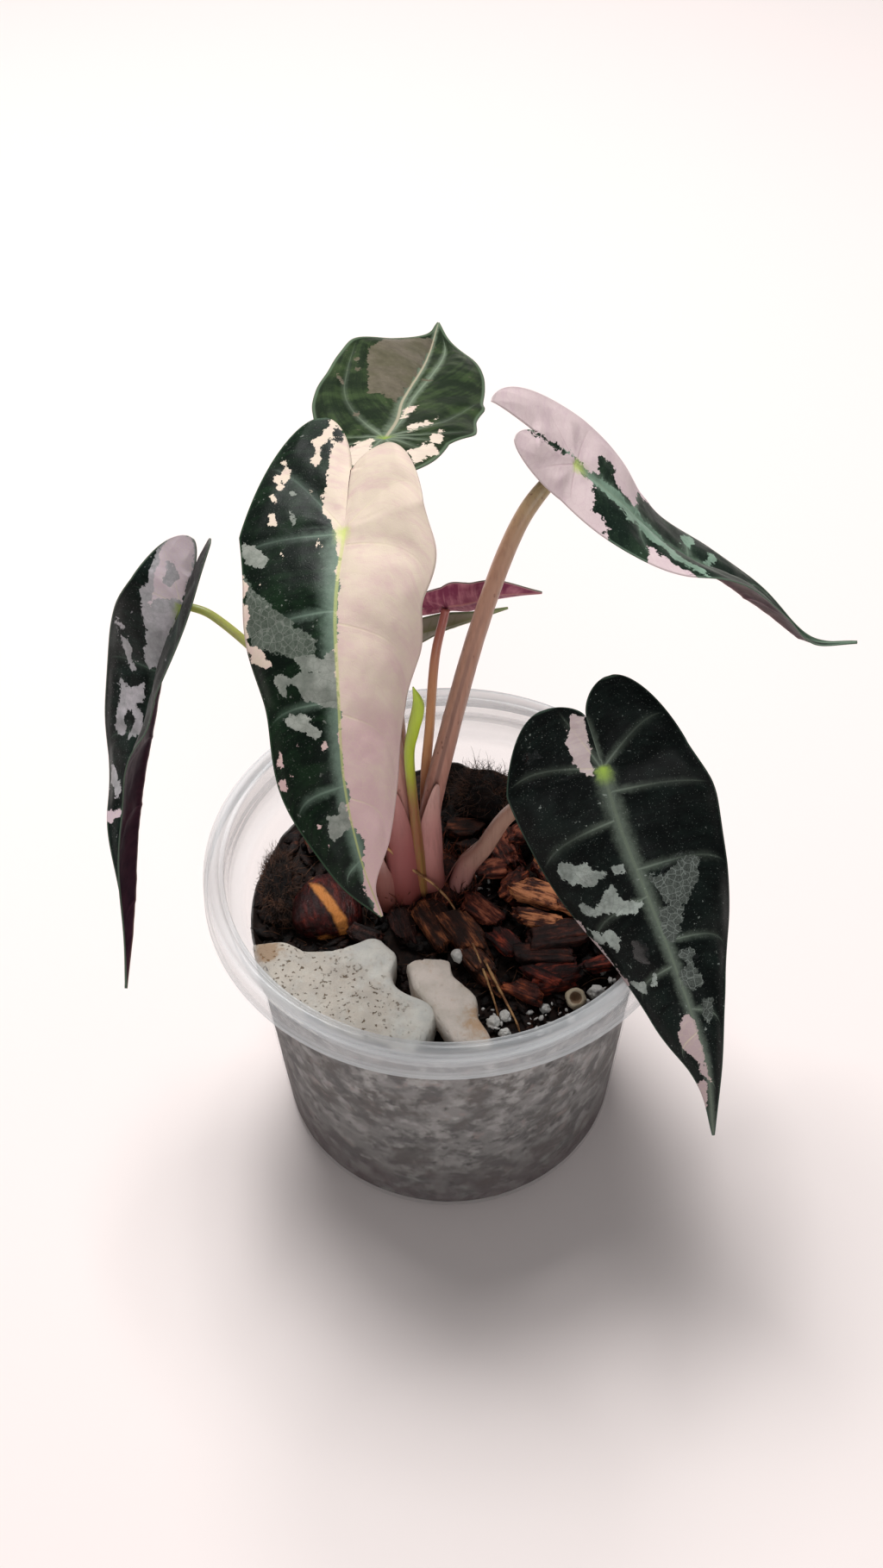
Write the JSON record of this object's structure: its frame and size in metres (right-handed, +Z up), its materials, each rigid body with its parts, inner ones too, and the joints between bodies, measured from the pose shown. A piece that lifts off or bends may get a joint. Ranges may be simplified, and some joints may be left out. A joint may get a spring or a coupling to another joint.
{
  "type": "potted bambino alocasia plant",
  "caption": "Small variegated alocasia with arrow-shaped leaves on slender stalks, growing in bark mix in a frosted clear nursery cup.",
  "frame": {"origin": "centre of the cup's flat underside", "axes": "+Z up out of the cup; -Y towards the side the plant is seen from; +X to the viewer's right"},
  "size_m": [0.162, 0.164, 0.193],
  "materials": {
    "frosted_plastic": "frosted, clear at the rim",
    "growing_mix": "damp, rough",
    "bark": "damp, split",
    "coir": "matted fibre",
    "pumice": "pitted, dry",
    "perlite": "dry",
    "stem_fibre": "fibrous",
    "leaf_stalk": "satin",
    "leaf_blade": "velvety satin, variegated",
    "young_leaf": "satin",
    "dry_root": "dry"
  },
  "bodies": {
    "root": {"pot": "frosted_plastic", "growing_mix": "growing_mix", "stem_base": "stem_fibre", "fibre_long": "dry_root", "fibre_short": "dry_root", "pumice_large": "pumice", "pumice_long": "pumice", "perlite_hollow": "perlite", "coir_left": "coir", "coir_back": "coir", "leaf_rolled": "young_leaf", "perlite_1": "perlite", "perlite_2": "perlite", "perlite_3": "perlite", "perlite_4": "perlite", "perlite_5": "perlite", "perlite_6": "perlite", "perlite_7": "perlite", "perlite_8": "perlite", "husk_round": "bark", "bark_mid_back": "bark", "bark_mid_front": "bark", "bark_long_back": "bark", "bark_long_middle": "bark", "bark_long_front": "bark", "bark_strip": "bark", "bark_back_left": "bark", "bark_back_right": "bark", "bark_back": "bark", "leaf_front": "leaf_blade", "stalk_front": "leaf_stalk", "leaf_back": "leaf_blade", "stalk_back": "leaf_stalk", "leaf_pink": "leaf_blade", "stalk_pink": "leaf_stalk", "leaf_dark": "leaf_blade", "stalk_dark": "leaf_stalk", "leaf_folded": "leaf_blade", "stalk_folded": "leaf_stalk", "leaf_small_high": "leaf_blade", "stalk_small_high": "leaf_stalk", "leaf_small_low": "leaf_blade", "stalk_small_low": "leaf_stalk"}
  },
  "joints": []
}
